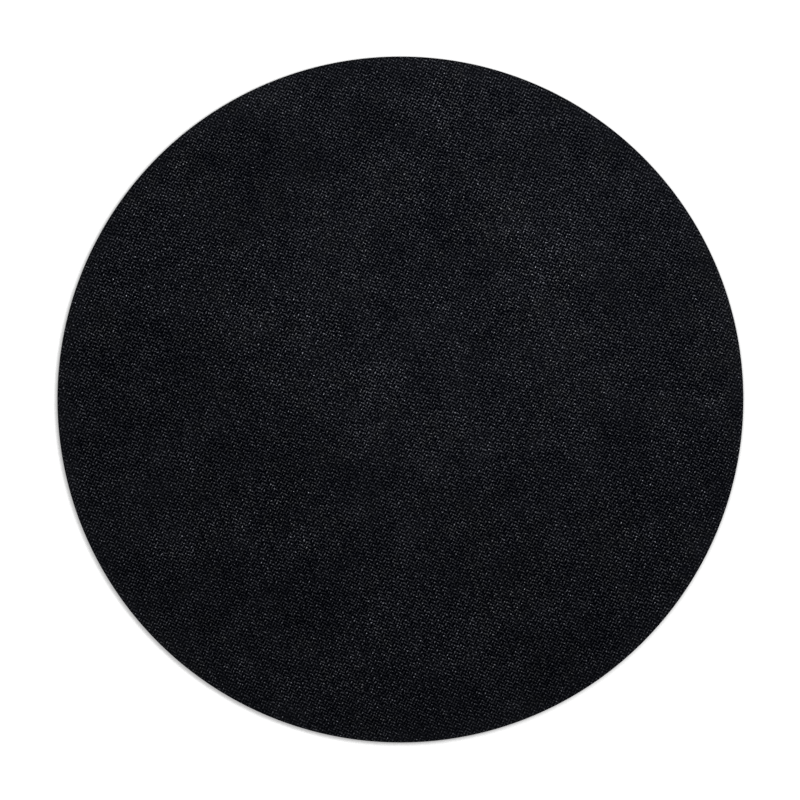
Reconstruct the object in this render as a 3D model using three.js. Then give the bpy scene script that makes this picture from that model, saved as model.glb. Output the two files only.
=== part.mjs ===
// A round mouse pad: woven twill cloth glued to a sheet of foam rubber, stamped out in one stroke.
// Millimetres, +Z up. The origin is the centre of the underside, where the pad rests on the desk.
import * as THREE from "three";

// Driving dimensions
const padDiameter = 200;
const rubberThickness = 2.5;
const filmThickness = 0.1;
const clothThickness = 0.4;

// The cut edge
const rollWidth = 0.8; // the blade drags the edge of the cloth down over this much of the rim
const rollDrop = 0.25;
const deepestRollShare = 0.9; // of the cloth's thickness
const filmSetback = 0.1; // the glue line stops short of the cut
const wallHollow = 0.15; // foam squeezed under the blade springs back to a slightly hollow wall
const heelRadius = 0.2; // the embossing roll leaves the lower corner of the rubber soft

// How finely the curves are divided
const rimSegments = 180;
const cornerSegments = 4;
const wallSegments = 4;

const padRadius = padDiameter / 2;
const filmHeight = rubberThickness;
const clothHeight = filmHeight + filmThickness;

const clothBlack = new THREE.MeshStandardMaterial({ color: 0x1a1b1f, roughness: 0.8, metalness: 0 });
const glueGrey = new THREE.MeshStandardMaterial({ color: 0x3a3a38, roughness: 0.4, metalness: 0 });
const rubberBlack = new THREE.MeshStandardMaterial({ color: 0x222222, roughness: 0.9, metalness: 0 });

// Points round a quarter of an ellipse, of which quarter -1 is the lower outer one and 0 the upper outer one.
function corner(centreRadius, centreHeight, width, height, quarter) {
  const points = [];
  for (let i = 0; i <= cornerSegments; i++) {
    const angle = (quarter + i / cornerSegments) * (Math.PI / 2);
    const radius = centreRadius + width * Math.cos(angle);
    points.push(new THREE.Vector2(radius, centreHeight + height * Math.sin(angle)));
  }
  return points;
}

// Turns an outline, drawn from the axis out and back to the axis, into a disc that lies on its seat.
function disc(name, outline, seatHeight, material) {
  const geometry = new THREE.LatheGeometry(outline, rimSegments);
  geometry.rotateX(Math.PI / 2);
  const mesh = new THREE.Mesh(geometry, material);
  mesh.name = name;
  mesh.position.z = seatHeight;
  return mesh;
}

// The rubber sheet: a soft lower corner, then a hollow wall up to the glue.
function rubberBase() {
  const heel = Math.min(heelRadius, rubberThickness / 2);
  const wallHeight = rubberThickness - heel;
  const outline = [new THREE.Vector2(0, 0), ...corner(padRadius - heel, heel, heel, heel, -1)];
  for (let i = 1; i <= wallSegments; i++) {
    const share = i / wallSegments;
    const radius = padRadius - wallHollow * Math.sin(Math.PI * share);
    outline.push(new THREE.Vector2(radius, heel + wallHeight * share));
  }
  outline.push(new THREE.Vector2(0, rubberThickness));
  return disc("rubber_base", outline, 0, rubberBlack);
}

// The glue: a thin flat disc, a little smaller than the layers that it joins.
function adhesiveFilm() {
  const radius = padRadius - filmSetback;
  const outline = [
    new THREE.Vector2(0, 0),
    new THREE.Vector2(radius, 0),
    new THREE.Vector2(radius, filmThickness),
    new THREE.Vector2(0, filmThickness),
  ];
  return disc("adhesive_film", outline, filmHeight, glueGrey);
}

// The cloth: flat, with its upper corner rolled down at the cut.
function clothTop() {
  const drop = Math.min(rollDrop, clothThickness * deepestRollShare);
  const outline = [
    new THREE.Vector2(0, 0),
    new THREE.Vector2(padRadius, 0),
    ...corner(padRadius - rollWidth, clothThickness - drop, rollWidth, drop, 0),
    new THREE.Vector2(0, clothThickness),
  ];
  return disc("cloth_top", outline, clothHeight, clothBlack);
}

const mousePad = new THREE.Group();
mousePad.add(rubberBase(), adhesiveFilm(), clothTop());

export default mousePad;
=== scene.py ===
import math

import bpy
import numpy as np
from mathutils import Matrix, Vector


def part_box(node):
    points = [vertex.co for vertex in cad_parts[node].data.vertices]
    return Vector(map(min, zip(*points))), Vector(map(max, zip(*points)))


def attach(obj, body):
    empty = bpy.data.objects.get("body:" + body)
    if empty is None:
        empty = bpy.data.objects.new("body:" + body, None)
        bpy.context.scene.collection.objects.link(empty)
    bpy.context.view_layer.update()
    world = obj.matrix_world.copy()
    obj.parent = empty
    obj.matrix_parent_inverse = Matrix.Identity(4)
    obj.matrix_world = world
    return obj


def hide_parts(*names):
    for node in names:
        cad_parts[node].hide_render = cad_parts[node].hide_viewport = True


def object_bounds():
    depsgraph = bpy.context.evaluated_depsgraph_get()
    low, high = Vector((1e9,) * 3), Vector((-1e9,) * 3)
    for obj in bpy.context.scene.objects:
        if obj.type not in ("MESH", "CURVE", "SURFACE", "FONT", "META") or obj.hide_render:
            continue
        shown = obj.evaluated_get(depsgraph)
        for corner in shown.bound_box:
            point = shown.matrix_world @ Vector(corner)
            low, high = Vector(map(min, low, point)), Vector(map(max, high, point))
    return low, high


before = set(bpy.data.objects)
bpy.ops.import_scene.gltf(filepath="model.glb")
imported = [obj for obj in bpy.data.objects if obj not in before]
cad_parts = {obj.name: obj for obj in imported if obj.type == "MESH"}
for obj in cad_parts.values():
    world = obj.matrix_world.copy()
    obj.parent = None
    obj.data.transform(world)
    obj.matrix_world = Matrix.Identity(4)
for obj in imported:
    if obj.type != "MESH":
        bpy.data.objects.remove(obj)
cad_low, cad_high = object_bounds()

# Sizes in metres and angles in radians. The layers and the rim come from the frame.
MM = 0.001
ROUNDING = 1e-9
PAD_RADIUS = (cad_high.x - cad_low.x) / 2
RUBBER_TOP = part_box("rubber_base")[1].z
CLOTH_UNDERSIDE, CLOTH_TOP = (corner.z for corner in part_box("cloth_top"))

# The weave, seen from above: the weft runs down to the right, and the warp climbs steeply to the right.
WEFT_ANGLE = math.radians(-26.2)
WARP_ANGLE = math.radians(66.2)
WARP_PITCH = 0.797 * MM  # from one warp thread to the next, along the weft
WEFT_PITCH = 0.845 * MM  # from one weft thread to the next, along the warp
SMALLER_PITCH = min(WARP_PITCH, WEFT_PITCH)
TWILL_REPEAT = 4  # over two, under two
THREAD_RELIEF = 0.16 * MM
LATTICE_MARGIN = 1.15  # the lattice is askew and bowed, so it starts out larger than the pad
WEAVE_SNAP = 0.25 * SMALLER_PITCH

# The waves that bow the threads: depth in threads, length in warp threads and in weft threads, and start.
BOW_ALONG_WEFT = ((0.45, math.inf, 230, 0.10), (0.30, 150, -260, 0.35))
BOW_ALONG_WARP = ((0.60, math.inf, 165, 0.15), (0.22, 420, 61, 0), (0.35, 240, 300, 0.60))

# The cut edge of the cloth, rolled down by the blade.
ROLL_WIDTH = 0.8 * MM
ROLL_DROP = 0.25 * MM
ROLL_RINGS = (0.85, 0.62, 0.35, 0.12, 0.0)  # how far in from the cut each ring lies, in widths of the roll
FRAY_DEPTH = 0.06 * MM

# The foam rubber under it, embossed below with two sets of grooves.
HEEL_RADIUS = 0.2 * MM
HEEL_STEPS = 4
WALL_HOLLOW = 0.15 * MM
WALL_STEPS = 8
GROOVE_PITCH = 2.4 * MM
GROOVE_WIDTH = 0.6 * MM
GROOVE_DEPTH = 0.25 * MM
GROOVE_ANGLES = (math.radians(30), math.radians(-30))
GROOVE_SNAP = 0.05 * MM
SHARP_ANGLE = math.radians(25)

# The map for the bake: middle and half width of the woven face, then of the cut and the back.
FACE_MIDDLE, FACE_SHARE = 0.5, 0.49
BACK_MIDDLE, BACK_SHARE, CUT_SHARE = 0.09, 0.075, 0.01


# Building skins out of points and triangles

def cut_to_circle(places, triangles, cut_radius, snap):
    """Cuts a lattice along a circle, with the points within snap moved onto it. Gives it and its rim."""
    radius = np.hypot(places[:, 0], places[:, 1])
    on = np.abs(radius - cut_radius) < snap
    places = np.where(on[:, None], places * (cut_radius / np.maximum(radius, snap))[:, None], places)
    inside = (radius < cut_radius) & ~on
    reach = inside[triangles].sum(1)

    def odd_first(corners, odd):
        """Turns the triangles so that the corner on its own side of the circle comes first."""
        first = np.argmax(inside[corners] == odd, 1)
        return np.take_along_axis(corners, (first[:, None] + np.arange(3)) % 3, 1)

    one = odd_first(triangles[reach == 1], True)
    two = odd_first(triangles[reach == 2], False)
    crossed = np.concatenate([one[:, [0, 1]], one[:, [0, 2]], two[:, [1, 0]], two[:, [2, 0]]])
    edges, which = np.unique(crossed, axis=0, return_inverse=True)
    start, way = places[edges[:, 0]], places[edges[:, 1]] - places[edges[:, 0]]
    square, slope = (way**2).sum(1), (start * way).sum(1)
    share = (np.sqrt(slope**2 - square * ((start**2).sum(1) - cut_radius**2)) - slope) / square
    new = len(places) + np.arange(len(edges))
    new = np.where(on[edges[:, 1]], edges[:, 1], new)[which.reshape(-1)]
    places = np.concatenate([places, start + share[:, None] * way])
    leave, enter = np.split(new[:2 * len(one)], 2)
    right, left = np.split(new[2 * len(one):], 2)
    tips = np.column_stack([one[:, 0], leave, enter])
    stumps = [np.column_stack([right, two[:, 1:]]), np.column_stack([right, two[:, 2], left])]
    triangles = np.concatenate([triangles[reach == 3], tips, *stumps])
    triangles = triangles[(triangles != np.roll(triangles, 1, 1)).all(1)]
    used, triangles = np.unique(triangles, return_inverse=True)
    places = places[used]
    rim = np.flatnonzero(np.hypot(places[:, 0], places[:, 1]) > cut_radius - ROUNDING)
    return places, triangles.reshape(-1, 3), rim[np.argsort(np.arctan2(places[rim, 1], places[rim, 0]))]


def skin_between(rings):
    """The triangles between rings that all have the same number of points."""
    faces = []
    for inner, outer in zip(rings, rings[1:]):
        faces.append(np.stack([inner, outer, np.roll(outer, -1)], -1))
        faces.append(np.stack([inner, np.roll(outer, -1), np.roll(inner, -1)], -1))
    return faces


def fan(ring, hub):
    """The triangles from a ring to the point in its middle."""
    return np.stack([ring, np.full(len(ring), hub), np.roll(ring, -1)], -1)


def new_piece(name, points, faces):
    """A new object with smooth faces, and its mesh."""
    mesh = bpy.data.meshes.new(name)
    mesh.from_pydata(points, [], faces)
    mesh.shade_smooth()
    piece = bpy.data.objects.new(name, mesh)
    bpy.context.scene.collection.objects.link(piece)
    return piece, mesh


# Cloth

WEFT_STEP = np.array([math.cos(WEFT_ANGLE), math.sin(WEFT_ANGLE)]) * WARP_PITCH
WARP_STEP = np.array([math.cos(WARP_ANGLE), math.sin(WARP_ANGLE)]) * WEFT_PITCH


def bow_of_threads(u, v):
    """How far the cloth is pulled out of true where warp thread u crosses weft thread v, in threads."""
    return tuple(
        sum(depth * np.sin(2 * np.pi * (u / warp_threads + v / weft_threads + start))
            for depth, warp_threads, weft_threads, start in waves)
        for waves in (BOW_ALONG_WEFT, BOW_ALONG_WARP))


def place_of_threads(u, v):
    """Where warp thread u crosses weft thread v, seen from above."""
    bow_u, bow_v = bow_of_threads(u, v)
    return (u + bow_u)[..., None] * WEFT_STEP + (v + bow_v)[..., None] * WARP_STEP


def threads_at(places):
    """The warp and weft thread numbers, with their fractions, at places seen from above."""
    straight = places @ np.linalg.inv(np.array([WEFT_STEP, WARP_STEP]))
    u, v = straight[..., 0], straight[..., 1]
    for _ in range(8):
        bow_u, bow_v = bow_of_threads(u, v)
        u, v = straight[..., 0] - bow_u, straight[..., 1] - bow_v
    return u, v


def thread_height(u, v):
    """1 on the crown of a float and 0 between the threads."""
    phase = (np.round(u) + np.round(v)) % TWILL_REPEAT
    across = np.where(phase < TWILL_REPEAT / 2, v - np.round(v), u - np.round(u))
    return 1 - 2 * np.abs(across)


def edge_drop(radius):
    """How far the rolled edge lies below the flat of the cloth."""
    share = np.clip((radius - PAD_RADIUS + ROLL_WIDTH) / ROLL_WIDTH, 0, 1)
    return ROLL_DROP * (1 - np.sqrt(1 - share**2))


def woven_face(cut_radius):
    """The triangles of the weave inside a circle: ridges along the floats and valleys beside them."""
    reach = int(LATTICE_MARGIN * cut_radius / SMALLER_PITCH)
    count = 2 * reach + 1
    whole = np.arange(-reach, reach + 1)
    crowns = np.stack(np.meshgrid(whole, whole, indexing="ij"), -1).reshape(-1, 2).astype(float)
    threads = np.concatenate([crowns, crowns + 0.5])

    def crown(i, j):
        return i * count + j

    def gap(i, j):
        return count * count + i * count + j

    inner = np.arange(1, count - 1)
    i, j = (numbers.ravel() for numbers in np.meshgrid(inner, inner, indexing="ij"))
    phase = (i + j - 2 * reach) % TWILL_REPEAT
    beside = (crown(i, j), gap(i, j - 1), crown(i + 1, j), gap(i, j), phase == 0)
    above = (crown(i, j), gap(i, j), crown(i, j + 1), gap(i - 1, j), phase == TWILL_REPEAT / 2)
    triangles = []
    for near, right, far, left, same_float in (beside, above):
        ridge = np.stack([near, right, far, near, far, left], -1)
        valley = np.stack([near, right, left, right, far, left], -1)
        triangles.append(np.where(same_float[:, None], ridge, valley).reshape(-1, 3))
    places = place_of_threads(threads[:, 0], threads[:, 1])
    return cut_to_circle(places, np.concatenate(triangles), cut_radius, WEAVE_SNAP)


def bake_map(corners, top_count):
    """The map for the bake: the woven face flat, with the cut and the back small in one corner."""
    spread = corners[:, :2] / PAD_RADIUS
    rise = (corners[:, 2:] - CLOTH_UNDERSIDE) / (CLOTH_TOP - CLOTH_UNDERSIDE)
    top = FACE_MIDDLE + FACE_SHARE * spread
    rest = BACK_MIDDLE + (BACK_SHARE + CUT_SHARE * rise) * spread
    return np.where((np.arange(len(corners)) < 3 * top_count)[:, None], top, rest)


def twill_cloth():
    """The cloth as one closed skin: woven face, rolled edge, frayed cut and flat back."""
    roll_start = PAD_RADIUS - ROLL_RINGS[0] * ROLL_WIDTH
    places, triangles, rim = woven_face(roll_start)
    outward = places[rim] / roll_start
    rings = [rim]
    flat = [places]
    for share in ROLL_RINGS[1:]:
        rings.append(sum(map(len, flat)) + np.arange(len(rim)))
        flat.append(outward * (PAD_RADIUS - share * ROLL_WIDTH))
    flat = np.concatenate(flat)
    crown = thread_height(*threads_at(flat))
    height = CLOTH_TOP - edge_drop(np.hypot(flat[:, 0], flat[:, 1])) - THREAD_RELIEF * (1 - crown)
    top = np.column_stack([flat, height])
    cut = rings[-1]
    top[cut, :2] *= (1 - FRAY_DEPTH / PAD_RADIUS * (1 - crown[cut]))[:, None]
    foot = np.column_stack([top[cut, :2], np.full(len(cut), CLOTH_UNDERSIDE)])
    points = np.concatenate([top, foot, [[0, 0, CLOTH_UNDERSIDE]]])
    foot_ring = len(top) + np.arange(len(rim))
    woven = np.concatenate([triangles, *skin_between(rings)])
    faces = np.concatenate([woven, *skin_between([cut, foot_ring]), fan(foot_ring, len(points) - 1)])
    cloth, mesh = new_piece("twill_cloth", points, faces)
    corners = points[faces.ravel()]
    weave_map = mesh.uv_layers.new(name="threads")
    threads = np.stack(threads_at(corners[:, :2]), -1)
    weave_map.uv.foreach_set("vector", threads.astype(np.float32).ravel())
    flat_map = mesh.uv_layers.new(name="OFBake")
    flat_map.uv.foreach_set("vector", bake_map(corners, len(woven)).astype(np.float32).ravel())
    mesh.materials.append(black_twill())
    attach(cloth, "root")
    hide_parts("cloth_top")


# Foam rubber

GROOVE_NORMALS = np.array([[-math.sin(angle), math.cos(angle)] for angle in GROOVE_ANGLES])


def groove_depth(places):
    """How deep the embossing is at places seen from below."""
    across = places @ GROOVE_NORMALS.T / GROOVE_PITCH
    off = np.abs(across - np.round(across)) * GROOVE_PITCH
    return GROOVE_DEPTH * np.clip(1 - off / (GROOVE_WIDTH / 2), 0, 1).max(-1)


def embossed_face(cut_radius):
    """The triangles of the underside inside a circle: flat diamonds between grooves that cross."""
    side = GROOVE_WIDTH / GROOVE_PITCH / 2
    reach = int(cut_radius / GROOVE_PITCH) + 2
    lines = (np.arange(-reach, reach + 1)[:, None] + np.array([-side, 0, side])).ravel()
    crossings = np.stack(np.meshgrid(lines, lines, indexing="ij"), -1).reshape(-1, 2)
    places = crossings * GROOVE_PITCH @ np.linalg.inv(GROOVE_NORMALS.T)
    depth = groove_depth(places)
    count = len(lines)
    step = np.arange(count - 1)
    i, j = (numbers.ravel() for numbers in np.meshgrid(step, step, indexing="ij"))
    near, far = i * count + j, (i + 1) * count + j + 1
    right, left = (i + 1) * count + j, i * count + j + 1
    crease = np.abs(depth[near] - depth[far]) >= np.abs(depth[right] - depth[left])
    along = np.stack([near, right, far, near, far, left], -1)
    across = np.stack([near, right, left, right, far, left], -1)
    triangles = np.where(crease[:, None], along, across).reshape(-1, 3)
    edges = places[triangles[:, 1:]] - places[triangles[:, :1]]
    turned = np.cross(edges[:, 0], edges[:, 1]) < 0
    triangles[turned] = triangles[turned][:, ::-1]
    return cut_to_circle(places, triangles, cut_radius, GROOVE_SNAP)


def foam_base():
    """The foam sheet as one closed skin: embossed underside, soft heel, hollow wall and flat top."""
    start = PAD_RADIUS - HEEL_RADIUS
    places, triangles, rim = embossed_face(start)
    heel = [(start + HEEL_RADIUS * math.sin(turn), HEEL_RADIUS * (1 - math.cos(turn)))
            for turn in np.linspace(0, math.pi / 2, HEEL_STEPS + 1)[1:]]
    wall_height = RUBBER_TOP - HEEL_RADIUS
    wall = [(PAD_RADIUS - WALL_HOLLOW * math.sin(math.pi * share), HEEL_RADIUS + wall_height * share)
            for share in np.linspace(0, 1, WALL_STEPS + 1)[1:]]
    outward = places[rim] / start
    rings = [rim]
    points = [np.column_stack([places, groove_depth(places)])]
    for radius, height in heel + wall:
        rings.append(sum(map(len, points)) + np.arange(len(rim)))
        ring = outward * radius
        points.append(np.column_stack([ring, np.maximum(height, groove_depth(ring))]))
    points = np.concatenate([*points, [[0, 0, RUBBER_TOP]]])
    skin = np.concatenate([triangles, *skin_between(rings[:len(heel) + 1])])
    cut = np.concatenate([*skin_between(rings[len(heel):]), fan(rings[-1], len(points) - 1)])
    foam, mesh = new_piece("foam_base", points, np.concatenate([skin, cut])[:, ::-1])
    mesh.set_sharp_from_angle(angle=SHARP_ANGLE)
    mesh.materials.append(embossed_rubber())
    mesh.materials.append(cut_foam())
    is_cut = np.arange(len(mesh.polygons)) >= len(skin)
    mesh.polygons.foreach_set("material_index", is_cut.astype(np.int32))
    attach(foam, "root")
    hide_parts("rubber_base")


# Node helpers

def fill(tree, node, inputs):
    """Fills a node's inputs with values or links."""
    for name, value in inputs.items():
        if isinstance(value, bpy.types.NodeSocket):
            tree.links.new(value, node.inputs[name])
        else:
            node.inputs[name].default_value = value


def add(tree, kind, inputs=None, **settings):
    """Adds one node with its settings and its inputs."""
    node = tree.nodes.new("ShaderNode" + kind)
    for name, value in settings.items():
        setattr(node, name, value)
    fill(tree, node, inputs or {})
    return node


def calc(tree, operation, *values):
    """One step of arithmetic on sockets and numbers."""
    return add(tree, "Math", dict(enumerate(values)), operation=operation).outputs[0]


def calc_vector(tree, operation, *values):
    """One step of arithmetic on vectors."""
    return add(tree, "VectorMath", dict(enumerate(values)), operation=operation).outputs[0]


def bell(tree, off, width):
    """1 where off is 0, and softly down to 0 on both sides."""
    square = calc(tree, "POWER", calc(tree, "DIVIDE", off, width), 2)
    return calc(tree, "EXPONENT", calc(tree, "MULTIPLY", square, -1))


def blend(tree, share, first, second):
    """A colour between two others, which may go past the second."""
    mix = add(tree, "Mix", {"Factor": share}, data_type="RGBA", clamp_factor=False)
    for name, colour in (("A", first), ("B", second)):
        socket = next(s for s in mix.inputs if s.name == name and s.type == "RGBA")
        if isinstance(colour, bpy.types.NodeSocket):
            tree.links.new(colour, socket)
        else:
            socket.default_value = (*colour, 1)
    return next(s for s in mix.outputs if s.type == "RGBA")


def stretch(tree, value, start, end, low, high):
    """Maps a value from one range to another and holds it there."""
    inputs = {"Value": value, "From Min": start, "From Max": end, "To Min": low, "To Max": high}
    return add(tree, "MapRange", inputs).outputs["Result"]


def relief(tree, height, distance):
    """The normal of a surface with fine relief."""
    return add(tree, "Bump", {"Height": height, "Distance": distance}).outputs[0]


def place_on_piece(tree):
    return add(tree, "TexCoord").outputs["Object"]


def away_from_middle(tree):
    """The distance from the middle of the pad."""
    return add(tree, "VectorMath", {0: place_on_piece(tree)}, operation="LENGTH").outputs["Value"]


def new_group(name, inputs, outputs):
    """An empty node group, its input sockets and its output sockets."""
    group = bpy.data.node_groups.new(name, "ShaderNodeTree")
    for socket in inputs:
        kind = "NodeSocketVector" if socket == "Place" else "NodeSocketFloat"
        group.interface.new_socket(socket, in_out="INPUT", socket_type=kind)
    for socket in outputs:
        group.interface.new_socket(socket, in_out="OUTPUT", socket_type="NodeSocketFloat")
    given = group.nodes.new("NodeGroupInput").outputs
    made = group.nodes.new("NodeGroupOutput").inputs
    return group, given, made


# Effects

def soft_noise(tree, place, scale, detail, roughness):
    """Cloudy noise from 0 to 1, with that many patches to the metre."""
    inputs = {"Vector": place, "Scale": scale, "Detail": detail, "Roughness": roughness}
    return add(tree, "TexNoise", inputs).outputs["Fac"]


def own_noise(tree, shift, degrees, scale, detail, roughness):
    """Soft noise from a part of its own, so that no two effects run together."""
    turn = (0, 0, math.radians(degrees))
    moved = add(tree, "Mapping", {"Vector": place_on_piece(tree), "Location": (*shift, 0), "Rotation": turn})
    return soft_noise(tree, moved.outputs[0], scale, detail, roughness)


# A float, in threads from its middle: where its two painted glints lie, and how far it reaches.
FIRST_GLINT, LAST_GLINT = -0.49, 0.45
FLOAT_REACH = 1.1


def one_float_group():
    """The painted highlight and the height of one thread, from the place along its float and across the
    thread: a painted highlight along the crest, with a painted glint at each end, stronger at the end that
    faces the light.
    """
    inputs = ("Along", "Across", "Thickness", "Shift", "Lean", "First", "Middle", "Last", "Glint length")
    group, given, made = new_group("one float", inputs, ("Painted highlight", "Height"))
    slant = calc(group, "MULTIPLY_ADD", given["Lean"], given["Along"], given["Shift"])
    off = calc(group, "SUBTRACT", given["Across"], slant)
    crest = bell(group, off, given["Thickness"])

    def glint(place, strength):
        far = calc(group, "SUBTRACT", given["Along"], place)
        return calc(group, "MULTIPLY", bell(group, far, given["Glint length"]), strength)

    fall = calc(group, "POWER", calc(group, "DIVIDE", given["Along"], FLOAT_REACH), 4)
    arch = calc(group, "MAXIMUM", calc(group, "SUBTRACT", 1, fall), 0)
    both = calc(group, "ADD", glint(FIRST_GLINT, given["First"]), glint(LAST_GLINT, given["Last"]))
    total = calc(group, "MULTIPLY_ADD", arch, given["Middle"], both)
    group.links.new(calc(group, "MULTIPLY", total, crest), made["Painted highlight"])
    side = calc(group, "SUBTRACT", 1, calc(group, "POWER", calc(group, "MULTIPLY", off, 2), 2))
    round_top = calc(group, "SQRT", calc(group, "MAXIMUM", side, 0))
    group.links.new(calc(group, "MULTIPLY", round_top, calc(group, "SQRT", arch)), made["Height"])
    return group


ONE_FLOAT = one_float_group()
# Each set of floats: how thick, shifted and leaning its painted crest highlight is, the strengths of its
# painted glint at the first end, of its painted highlight along the middle and of its painted glint at the
# last end, and how long the glints are.
WEFT_FLOAT = {"Thickness": 0.186, "Shift": 0.008, "Lean": 0.061,
              "First": 3.77, "Middle": 1.18, "Last": 2.35, "Glint length": 0.14}
WARP_FLOAT = {"Thickness": 0.186, "Shift": -0.034, "Lean": 0.094,
              "First": 1.9, "Middle": 0.31, "Last": 2.7, "Glint length": 0.29}

# For each set of threads: how far its floats are shifted in the repeat, how fine its fibres are, and a seed.
WEFT_START, WEFT_FIBRES, WEFT_SEED = -0.5, (1.75, 3.1, 0), 37
WARP_START, WARP_FIBRES, WARP_SEED = -2.5, (3.1, 1.75, 0), 91

# How far the threads stray from their places, in threads, and how often.
STRAY = 0.42
STRAY_SCALE = 0.7


def twill_group():
    """A two over, two under twill, from a place counted in warp threads and weft threads, giving its painted
    highlights and its height.
    """
    group, given, made = new_group("twill weave", ("Place", "Float luck", "Fibre luck"), ("Painted highlight", "Height"))

    def noise_in_threads(place, output, **values):
        return add(group, "TexNoise", {"Vector": place, **values}, noise_dimensions="2D").outputs[output]

    stray = noise_in_threads(given["Place"], "Color", Scale=STRAY_SCALE, Detail=0.0)
    centred = calc_vector(group, "SUBTRACT", stray, (0.5, 0.5, 0.5))
    place = calc_vector(group, "MULTIPLY_ADD", centred, (STRAY, STRAY, 0), given["Place"])
    x, y, _ = add(group, "SeparateXYZ", {"Vector": place}).outputs
    warp, weft = calc(group, "ROUND", x), calc(group, "ROUND", y)

    def one_set(run, across, number, start, look, fibres, seed):
        """The painted highlight and the height of the weft or the warp, from places along and across its
        threads.
        """
        count = calc(group, "ADD", calc(group, "ADD", run, number), start)
        along = calc(group, "WRAP", count, TWILL_REPEAT / 2, -TWILL_REPEAT / 2)
        off = calc(group, "SUBTRACT", across, number)
        thread = add(group, "Group", {"Along": along, "Across": off, **look}, node_tree=ONE_FLOAT)
        # Painted glints of the fibres, brighter in some places and dimmer in others along the threads.
        stretched = calc_vector(group, "MULTIPLY_ADD", given["Place"], fibres, (seed, seed / 3, 0))
        grain = noise_in_threads(stretched, "Fac", Scale=1.0, Detail=1.0, Roughness=1.0)
        bright = calc(group, "MULTIPLY", calc(group, "SUBTRACT", grain, 0.5), given["Fibre luck"])
        painted_highlight = calc(group, "MULTIPLY", thread.outputs["Painted highlight"], calc(group, "EXPONENT", bright))
        return painted_highlight, thread.outputs["Height"]

    weft_painted_highlight, weft_height = one_set(x, y, weft, WEFT_START, WEFT_FLOAT, WEFT_FIBRES, WEFT_SEED)
    warp_painted_highlight, warp_height = one_set(y, x, warp, WARP_START, WARP_FLOAT, WARP_FIBRES, WARP_SEED)
    # The painted highlights of each crossing, brighter at some crossings and dimmer at others, at random.
    crossing = add(group, "CombineXYZ", {"X": warp, "Y": weft}).outputs[0]
    dice = add(group, "TexWhiteNoise", {"Vector": crossing}, noise_dimensions="2D").outputs["Color"]
    red, green, blue = add(group, "SeparateColor", {"Color": dice}).outputs
    total = calc(group, "ADD", calc(group, "ADD", red, green), blue)
    spread = calc(group, "MULTIPLY", calc(group, "SUBTRACT", total, 1.5), given["Float luck"])
    both = calc(group, "ADD", weft_painted_highlight, warp_painted_highlight)
    group.links.new(calc(group, "MULTIPLY", both, calc(group, "EXPONENT", spread)), made["Painted highlight"])
    group.links.new(calc(group, "MAXIMUM", weft_height, warp_height), made["Height"])
    return group


TWILL = twill_group()

# Foam cells are bent by a finer noise, and their walls rise between these two distances from the middle.
CELL_BEND = 0.2 * MM
CELL_BEND_SCALE = 900.0
WALL_START, WALL_END = 0.25, 0.65


def foam_cells_group():
    """The cells of foam rubber: 1 on their walls, which stand highest, and 0 in the middle of each."""
    group, given, made = new_group("foam cells", ("Place", "Cells"), ("Walls",))
    noise = {"Vector": given["Place"], "Scale": CELL_BEND_SCALE, "Detail": 1.0}
    bend = calc(group, "MULTIPLY", add(group, "TexNoise", noise).outputs["Fac"], CELL_BEND)
    bent = calc_vector(group, "ADD", given["Place"], bend)
    cells = add(group, "TexVoronoi", {"Vector": bent, "Scale": given["Cells"]})
    group.links.new(stretch(group, cells.outputs["Distance"], WALL_START, WALL_END, 0, 1), made["Walls"])
    return group


FOAM_CELLS = foam_cells_group()


# Materials

def new_material(name, **values):
    """A material, its tree and its shader, with what is the same all over set on the shader."""
    material = bpy.data.materials.new(name)
    material.use_nodes = True
    skin = material.node_tree.nodes["Principled BSDF"]
    for socket, value in values.items():
        skin.inputs[socket.replace("_", " ")].default_value = value
    return material, material.node_tree, skin


# The cloth's noises: shift and turn, then patches to the metre, detail and roughness.
FUZZ = ((3.9, -6.2), 0, 20, 2, 0.6)
AREAS = ((-3.814, 2.434), 40, 10, 5, 0.7)
CLOUDS = ((1.871, 2.217), 100, 30, 5, 0.8)
PATCHES = ((5.3, 3.1), 0, 130, 1, 0.5)
NAP = ((-2.4, 7.7), 0, 130, 2, 0.5)
DRIFT = ((1.339, 1.824), 140, 30, 5, 0.7)
FLECKS = ((8.1, 1.3), 0, 190, 2, 0.5)

# The cloth's brightness: its level, how strongly each noise changes it, and how much lighter it grows
# towards the cut.
LEVEL = -1.650
LIFTS = ((AREAS, 1.2), (CLOUDS, 1.35), (PATCHES, 0.72))
LIGHTER_EDGE_WIDTH = 1.1 * MM
LIGHTER_EDGE_GAIN = 1.8

# How much the painted highlights differ from float to float and from fibre to fibre, the fibres less in calm
# cloth than in fuzzy cloth.
FLOAT_LUCK = 0.54
CALM_FIBRES, FUZZY_FIBRES = 5.45, 8.25

# The nap hides the weave's painted highlights in patches and near the rim, and shows one even painted
# highlight there instead.
NAP_IN_PATCHES = 0.22
NAP_AT_RIM = 0.33
NAP_WIDTH = 6.5 * MM
NAP_EVEN_HIGHLIGHT = 0.62

# Colours between the threads, where shade is painted, and on their crowns, which the painted highlights
# brighten, and roughness between the threads and on them.
PAINTED_SHADE_IN_GAPS = (0.0, 0.00017, 0.00078)
BLUE_CROWN = (0.00702, 0.00741, 0.00903)
WARM_CROWN = (0.00718, 0.00750, 0.00855)
GAP_ROUGHNESS, CROWN_ROUGHNESS = 0.41, 0.32


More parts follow.
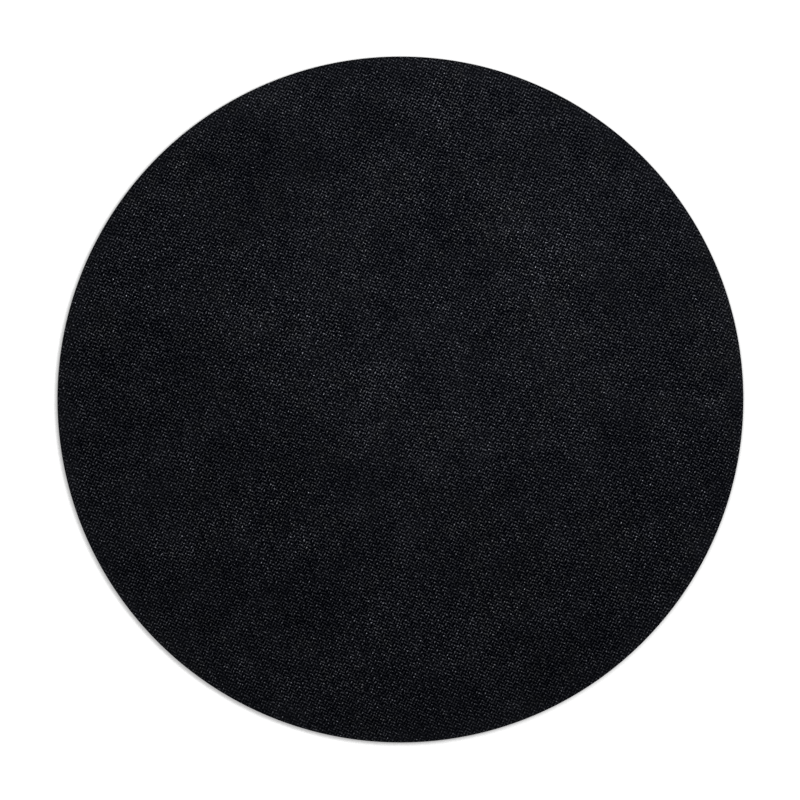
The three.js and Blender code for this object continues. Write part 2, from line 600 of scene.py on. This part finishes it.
def napped(tree, painted_highlight, away):
    """The weave's painted highlights with the nap over them."""
    patches = stretch(tree, own_noise(tree, *NAP), 0.45, 0.75, 0, NAP_IN_PATCHES)
    rim = stretch(tree, away, PAD_RADIUS - NAP_WIDTH, PAD_RADIUS, 0, NAP_AT_RIM)
    inputs = {"Factor": calc(tree, "ADD", patches, rim), "A": painted_highlight, "B": NAP_EVEN_HIGHLIGHT}
    return add(tree, "Mix", inputs, data_type="FLOAT").outputs["Result"]


def cloth_tone(tree, away):
    """How bright the cloth is from place to place, and lighter towards the cut."""
    lift = LEVEL
    for noise, strength in LIFTS:
        lift = calc(tree, "MULTIPLY_ADD", own_noise(tree, *noise), strength, lift)
    lighter_edge = stretch(tree, away, PAD_RADIUS - LIGHTER_EDGE_WIDTH, PAD_RADIUS, 1, LIGHTER_EDGE_GAIN)
    return calc(tree, "MULTIPLY", calc(tree, "EXPONENT", lift), lighter_edge)


def crown_colour(tree):
    """The colour of the threads, bluer in some places and warmer in others."""
    mixed = calc(tree, "MULTIPLY_ADD", own_noise(tree, *DRIFT), 1.3, own_noise(tree, *FLECKS))
    return blend(tree, stretch(tree, mixed, 1.17, 1.35, 0, 1), BLUE_CROWN, WARM_CROWN)


def black_twill():
    material, tree, skin = new_material("black twill cloth", Specular_IOR_Level=0.0, Metallic=0.35,
                                        Specular_Tint=(0.72, 0.75, 0.82, 1))
    fibre_luck = stretch(tree, own_noise(tree, *FUZZ), 0.38, 0.62, CALM_FIBRES, FUZZY_FIBRES)
    threads = add(tree, "UVMap", uv_map="threads").outputs[0]
    inputs = {"Place": threads, "Float luck": FLOAT_LUCK, "Fibre luck": fibre_luck}
    weave = add(tree, "Group", inputs, node_tree=TWILL).outputs
    away = away_from_middle(tree)
    painted_highlight = calc(tree, "MULTIPLY", napped(tree, weave["Painted highlight"], away), cloth_tone(tree, away))
    # The base colour holds painted highlights on the crowns of the threads and painted shade between them.
    fill(tree, skin, {
        "Base Color": blend(tree, painted_highlight, PAINTED_SHADE_IN_GAPS, crown_colour(tree)),
        "Roughness": stretch(tree, weave["Height"], 0, 1, GAP_ROUGHNESS, CROWN_ROUGHNESS),
        "Normal": relief(tree, weave["Height"], 0.03 * MM),
    })
    return material


def glue_line():
    material, tree, skin = new_material("hot melt glue", Specular_IOR_Level=0.4)
    haze = soft_noise(tree, place_on_piece(tree), 900, 3, 0.6)
    fill(tree, skin, {
        "Base Color": blend(tree, haze, (0.038, 0.038, 0.035), (0.062, 0.062, 0.059)),
        "Roughness": stretch(tree, haze, 0.3, 0.7, 0.3, 0.5),
        "Normal": relief(tree, haze, 0.02 * MM),
    })
    return material


def rubber(name, cells_to_the_metre, pore_depth, pale, hollow_shade, least_roughness):
    """Black foam rubber with cells that are open at a cut and closed under the embossed skin, with the
    hollow middles of the cells painted darker as shade.
    """
    material, tree, skin = new_material(name, Specular_IOR_Level=0.25)
    place = place_on_piece(tree)
    inputs = {"Place": place, "Cells": cells_to_the_metre}
    walls = add(tree, "Group", inputs, node_tree=FOAM_CELLS).outputs["Walls"]
    clouds = soft_noise(tree, place, 60, 5, 0.65)
    worn = stretch(tree, clouds, 0.3, 0.7, -0.25, 0.25)
    share = calc(tree, "ADD", calc(tree, "MULTIPLY", walls, 0.75), worn)
    # Painted shade: the middles of the cells, which lie lowest, are darker than their walls.
    fill(tree, skin, {
        "Base Color": blend(tree, share, hollow_shade, pale),
        "Roughness": calc(tree, "MULTIPLY_ADD", clouds, 0.3, least_roughness),
        "Normal": relief(tree, walls, pore_depth),
    })
    return material


def embossed_rubber():
    return rubber("embossed rubber skin", cells_to_the_metre=2600, pore_depth=0.015 * MM,
                  pale=(0.020, 0.020, 0.021), hollow_shade=(0.012, 0.012, 0.0128), least_roughness=0.5)


def cut_foam():
    return rubber("cut foam rubber", cells_to_the_metre=3800, pore_depth=0.06 * MM,
                  pale=(0.036, 0.036, 0.037), hollow_shade=(0.010, 0.010, 0.0105), least_roughness=0.75)


twill_cloth()
foam_base()
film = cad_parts["adhesive_film"]
film.data.materials.clear()
film.data.materials.append(glue_line())


# Stage, light and camera

FLOOR_RADIUS = 20
FLOOR_SIDES = 360

# The paper's glow for the camera: at the rim, just beside it, and how much more far from it.
RIM_GLOW, NEAR_GLOW, MORE_GLOW = 0.34, 0.427, 0.6
NEAR_WIDTH = 0.6 * MM
FAR_START = PAD_RADIUS + 2 * MM
FAR_END = 1.25 * PAD_RADIUS


def seen_directly(tree):
    """1 where the camera sees a thing, also in a mirror or through glass, and 0 where it lights another."""
    path = add(tree, "LightPath").outputs
    either = calc(tree, "ADD", path["Is Camera Ray"], path["Is Glossy Ray"])
    return calc(tree, "MINIMUM", calc(tree, "ADD", either, path["Is Transmission Ray"]), 1)


def white_paper():
    """White paper that glows for the camera, less so close to the pad, so that its shadow still shows."""
    material = bpy.data.materials.new("white paper")
    material.use_nodes = True
    tree = material.node_tree
    tree.nodes.clear()
    paper = add(tree, "BsdfDiffuse", {"Color": (0.9, 0.9, 0.9, 1)}).outputs[0]
    away = away_from_middle(tree)
    near = stretch(tree, away, PAD_RADIUS, PAD_RADIUS + NEAR_WIDTH, RIM_GLOW, NEAR_GLOW)
    wide = stretch(tree, away, FAR_START, FAR_END, 0, MORE_GLOW)
    strength = calc(tree, "MULTIPLY", calc(tree, "ADD", near, wide), seen_directly(tree))
    glow = add(tree, "Emission", {"Strength": strength}).outputs[0]
    both = add(tree, "AddShader", {0: paper, 1: glow}).outputs[0]
    add(tree, "OutputMaterial", {"Surface": both})
    return material


def white_floor():
    """A floor that is cut out under the pad, so that the underside can be seen from below."""
    hole = PAD_RADIUS - HEEL_RADIUS
    bpy.ops.object.select_all(action="DESELECT")
    bpy.ops.mesh.primitive_circle_add(vertices=FLOOR_SIDES, radius=hole, fill_type="NOTHING")
    floor = bpy.context.object
    floor.name = "floor"
    bpy.ops.object.mode_set(mode="EDIT")
    bpy.ops.mesh.select_all(action="SELECT")
    bpy.ops.mesh.extrude_edges_move()
    bpy.ops.transform.resize(value=(FLOOR_RADIUS / hole, FLOOR_RADIUS / hole, 1))
    bpy.ops.mesh.select_all(action="SELECT")
    bpy.ops.mesh.normals_make_consistent(inside=False)
    bpy.ops.object.mode_set(mode="OBJECT")
    floor.data.materials.append(white_paper())


def white_world(strength_on_the_pad):
    """A world that looks white to the camera and lights the pad less than that."""
    world = bpy.data.worlds.new("studio")
    bpy.context.scene.world = world
    world.use_nodes = True
    tree = world.node_tree
    background = tree.nodes["Background"]
    background.inputs["Color"].default_value = (1, 1, 1, 1)
    strength = calc(tree, "MULTIPLY_ADD", seen_directly(tree), 1 - strength_on_the_pad, strength_on_the_pad)
    tree.links.new(strength, background.inputs["Strength"])


def softbox(name, location, size, energy):
    """A round lamp that faces the pad."""
    lamp_data = bpy.data.lights.new(name, "AREA")
    lamp_data.shape = "DISK"
    lamp_data.size = size
    lamp_data.energy = energy
    lamp = bpy.data.objects.new(name, lamp_data)
    bpy.context.scene.collection.objects.link(lamp)
    lamp.location = location
    lamp.rotation_euler = (-lamp.location).to_track_quat("-Z", "Y").to_euler()
    lamp.visible_camera = False


white_floor()
white_world(strength_on_the_pad=0.25)
softbox("softbox_above", location=(0.018, 0.075, 0.42), size=0.2, energy=0.79)
softbox("softbox_to_the_right", location=(0.55, 0.24, 1.6), size=0.6, energy=8.1)
softbox("softbox_below", location=(0.1, -0.1, -0.5), size=0.3, energy=1.5)

# The width of the picture, the radius of the pad, and the way from its middle to the camera, in pixels.
FRAME_PIXELS = 800
RADIUS_PIXELS = 343.03
RIGHT_PIXELS, UP_PIXELS = -0.41, -0.49
METRES_PER_PIXEL = PAD_RADIUS / RADIUS_PIXELS
CAMERA_HEIGHT = 0.6

camera_data = bpy.data.cameras.new("camera")
camera_data.type = "ORTHO"
camera_data.ortho_scale = FRAME_PIXELS * METRES_PER_PIXEL
camera = bpy.data.objects.new("camera", camera_data)
bpy.context.scene.collection.objects.link(camera)
camera.location = (RIGHT_PIXELS * METRES_PER_PIXEL, UP_PIXELS * METRES_PER_PIXEL, CAMERA_HEIGHT)
bpy.context.scene.camera = camera
bpy.context.scene.view_settings.view_transform = "Standard"
